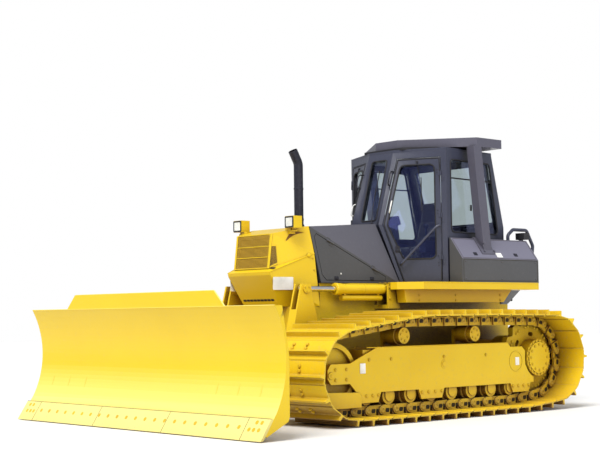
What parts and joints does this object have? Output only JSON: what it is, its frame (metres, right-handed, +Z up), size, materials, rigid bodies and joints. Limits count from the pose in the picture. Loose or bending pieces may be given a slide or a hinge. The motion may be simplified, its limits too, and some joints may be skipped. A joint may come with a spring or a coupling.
{
  "type": "bulldozer",
  "caption": "Tracked bulldozer with an angling and tilting dozer blade on a push frame, a tapered nose, an enclosed cab with glazed doors and a canopy on side posts.",
  "frame": {"origin": "centre of the bounding box on the ground under the tracks", "axes": "+X forward to the blade, +Y to the driver's left, +Z up"},
  "size_m": [5.28, 3.86, 2.935],
  "materials": {
    "yellow_frame": "satin",
    "yellow_panel": "gloss",
    "yellow_blade": "satin",
    "edge_steel": "satin",
    "track_steel": "satin",
    "yellow_cylinder": "gloss",
    "chrome_rod": "polished",
    "grey_panel": "satin",
    "cab_paint": "satin",
    "glass": "clear",
    "black_steel": "satin",
    "lamp_black": "matte",
    "engine_grey": "matte",
    "inner_plastic": "matte",
    "seat_cloth": "cloth"
  },
  "bodies": {
    "machine": {"bottom_rollers": "track_steel", "cab_floor": "inner_plastic", "cab_frame": "cab_paint", "cab_glass": "glass", "cab_roof": "cab_paint", "carrier_rollers": "track_steel", "consoles": "inner_plastic", "dashboard": "inner_plastic", "drawbar": "black_steel", "engine_block": "engine_grey", "exhaust_pipe": "black_steel", "fenders": "yellow_panel", "final_drives": "yellow_frame", "fuel_tank": "grey_panel", "grille": "black_steel", "head_lamps": "yellow_panel", "hood": "grey_panel", "idlers": "track_steel", "lamp_guards": "black_steel", "left_track": "track_steel", "left_track_frame": "yellow_frame", "main_frame": "yellow_frame", "nose": "yellow_panel", "radiator": "engine_grey", "rear_lamps": "lamp_black", "right_track": "track_steel", "right_track_frame": "yellow_frame", "rops_canopy": "cab_paint", "seat_back": "seat_cloth", "seat_base": "inner_plastic", "seat_cushion": "seat_cloth", "side_boxes": "grey_panel", "sprockets": "track_steel"},
    "push_frame": {"push_frame": "yellow_frame"},
    "blade_yoke": {"blade_yoke": "yellow_frame"},
    "blade": {"blade": "yellow_blade", "cutting_edge": "edge_steel", "spill_guard": "yellow_blade"},
    "tilt_barrel": {"tilt_barrel": "yellow_cylinder"},
    "tilt_rod": {"tilt_rod": "chrome_rod"},
    "left_lift_barrel": {"left_lift_barrel": "yellow_cylinder"},
    "left_lift_rod": {"left_lift_rod": "chrome_rod"},
    "left_angle_ball": {"left_angle_ball": "black_steel"},
    "left_angle_barrel": {"left_angle_barrel": "yellow_cylinder"},
    "left_angle_rod": {"left_angle_rod": "chrome_rod"},
    "left_hood_door": {"left_hood_door": "grey_panel"},
    "left_door": {"left_door": "cab_paint", "left_door_glass": "glass", "left_door_rail": "black_steel"},
    "right_lift_barrel": {"right_lift_barrel": "yellow_cylinder"},
    "right_lift_rod": {"right_lift_rod": "chrome_rod"},
    "right_angle_ball": {"right_angle_ball": "black_steel"},
    "right_angle_barrel": {"right_angle_barrel": "yellow_cylinder"},
    "right_angle_rod": {"right_angle_rod": "chrome_rod"},
    "right_hood_door": {"right_hood_door": "grey_panel"},
    "right_door": {"right_door": "cab_paint", "right_door_glass": "glass", "right_door_rail": "black_steel"}
  },
  "joints": [
    {"name": "blade_lift", "type": "hinge", "parent": "machine", "child": "push_frame", "pos_m": [-0.42, 0, 0.45], "axis": [0, -1, 0], "range_deg": [-9, 21.5]},
    {"name": "blade_angle", "type": "hinge", "parent": "push_frame", "child": "blade_yoke", "pos_m": [2.21, 0, 0.4], "axis": [0, 0, 1], "range_deg": [-25, 25]},
    {"name": "blade_tilt", "type": "hinge", "parent": "blade_yoke", "child": "blade", "pos_m": [2.32, 0, 0.4], "axis": [1, 0, 0], "range_deg": [-6, 6]},
    {"name": "left_lift_pivot", "type": "hinge", "parent": "machine", "child": "left_lift_barrel", "pos_m": [-0.26, 0.54, 1.29], "axis": [0, -1, 0], "range_deg": [-12.36, 27.93]},
    {"name": "left_lift_stroke", "type": "slide", "parent": "left_lift_barrel", "child": "left_lift_rod", "axis": [1, 0, 0], "range_m": [-0.3009, 0.1289]},
    {"name": "left_angle_yaw", "type": "hinge", "parent": "push_frame", "child": "left_angle_ball", "pos_m": [1.3, 0.435, 0.69], "axis": [0, 0, 1], "range_deg": [-5.39, 5.39]},
    {"name": "left_angle_pitch", "type": "hinge", "parent": "left_angle_ball", "child": "left_angle_barrel", "pos_m": [1.3, 0.435, 0.69], "axis": [0.1892, -0.9819, 0], "range_deg": [-4.38, 4.38]},
    {"name": "left_angle_stroke", "type": "slide", "parent": "left_angle_barrel", "child": "left_angle_rod", "axis": [0.9819, 0.1892, 0], "range_m": [-0.2649, 0.2649]},
    {"name": "right_lift_pivot", "type": "hinge", "parent": "machine", "child": "right_lift_barrel", "pos_m": [-0.26, -0.54, 1.29], "axis": [0, -1, 0], "range_deg": [-12.36, 27.93]},
    {"name": "right_lift_stroke", "type": "slide", "parent": "right_lift_barrel", "child": "right_lift_rod", "axis": [1, 0, 0], "range_m": [-0.3009, 0.1289]},
    {"name": "right_angle_yaw", "type": "hinge", "parent": "push_frame", "child": "right_angle_ball", "pos_m": [1.3, -0.435, 0.69], "axis": [0, 0, 1], "range_deg": [-5.39, 5.39]},
    {"name": "right_angle_pitch", "type": "hinge", "parent": "right_angle_ball", "child": "right_angle_barrel", "pos_m": [1.3, -0.435, 0.69], "axis": [-0.1892, -0.9819, 0], "range_deg": [-4.38, 4.38]},
    {"name": "right_angle_stroke", "type": "slide", "parent": "right_angle_barrel", "child": "right_angle_rod", "axis": [0.9819, -0.1892, 0], "range_m": [-0.2649, 0.2649]},
    {"name": "tilt_pivot", "type": "hinge", "parent": "blade_yoke", "child": "tilt_barrel", "pos_m": [2.245, -0.15, 0.76], "axis": [1, 0, 0], "range_deg": [-9.05, 9.05]},
    {"name": "tilt_stroke", "type": "slide", "parent": "tilt_barrel", "child": "tilt_rod", "axis": [0, -0.9691, 0.2467], "range_m": [-0.0376, 0.0376]},
    {"name": "left_door_hinge", "type": "hinge", "parent": "machine", "child": "left_door", "pos_m": [-0.96093, 0.69366, 2], "axis": [0, 0, 1], "range_deg": [0, 115]},
    {"name": "right_door_hinge", "type": "hinge", "parent": "machine", "child": "right_door", "pos_m": [-0.96093, -0.69366, 2], "axis": [0, 0, -1], "range_deg": [0, 115]},
    {"name": "left_hood_hinge", "type": "hinge", "parent": "machine", "child": "left_hood_door", "pos_m": [-0.40904, 0.3917, 1.42812], "axis": [-0.9255, -0.0477, -0.3758], "range_deg": [-75, 0]},
    {"name": "right_hood_hinge", "type": "hinge", "parent": "machine", "child": "right_hood_door", "pos_m": [-0.40904, -0.3917, 1.42812], "axis": [0.9255, -0.0477, 0.3758], "range_deg": [-75, 0]}
  ],
  "couplings": [
    {"joint": "left_lift_pivot", "follows": "blade_lift", "ratio": 1.2456},
    {"joint": "left_lift_stroke", "follows": "blade_lift", "m_per_rad": -0.78858},
    {"joint": "left_angle_yaw", "follows": "blade_angle", "ratio": 0.16982},
    {"joint": "left_angle_pitch", "follows": "blade_tilt", "ratio": 0.63417},
    {"joint": "left_angle_stroke", "follows": "blade_angle", "m_per_rad": -0.59555},
    {"joint": "right_lift_pivot", "follows": "blade_lift", "ratio": 1.2456},
    {"joint": "right_lift_stroke", "follows": "blade_lift", "m_per_rad": -0.78858},
    {"joint": "right_angle_yaw", "follows": "blade_angle", "ratio": 0.16982},
    {"joint": "right_angle_pitch", "follows": "blade_tilt", "ratio": -0.63417},
    {"joint": "right_angle_stroke", "follows": "blade_angle", "m_per_rad": 0.59555},
    {"joint": "tilt_pivot", "follows": "blade_tilt", "ratio": 1.4133},
    {"joint": "tilt_stroke", "follows": "blade_tilt", "m_per_rad": 0.3109}
  ]
}
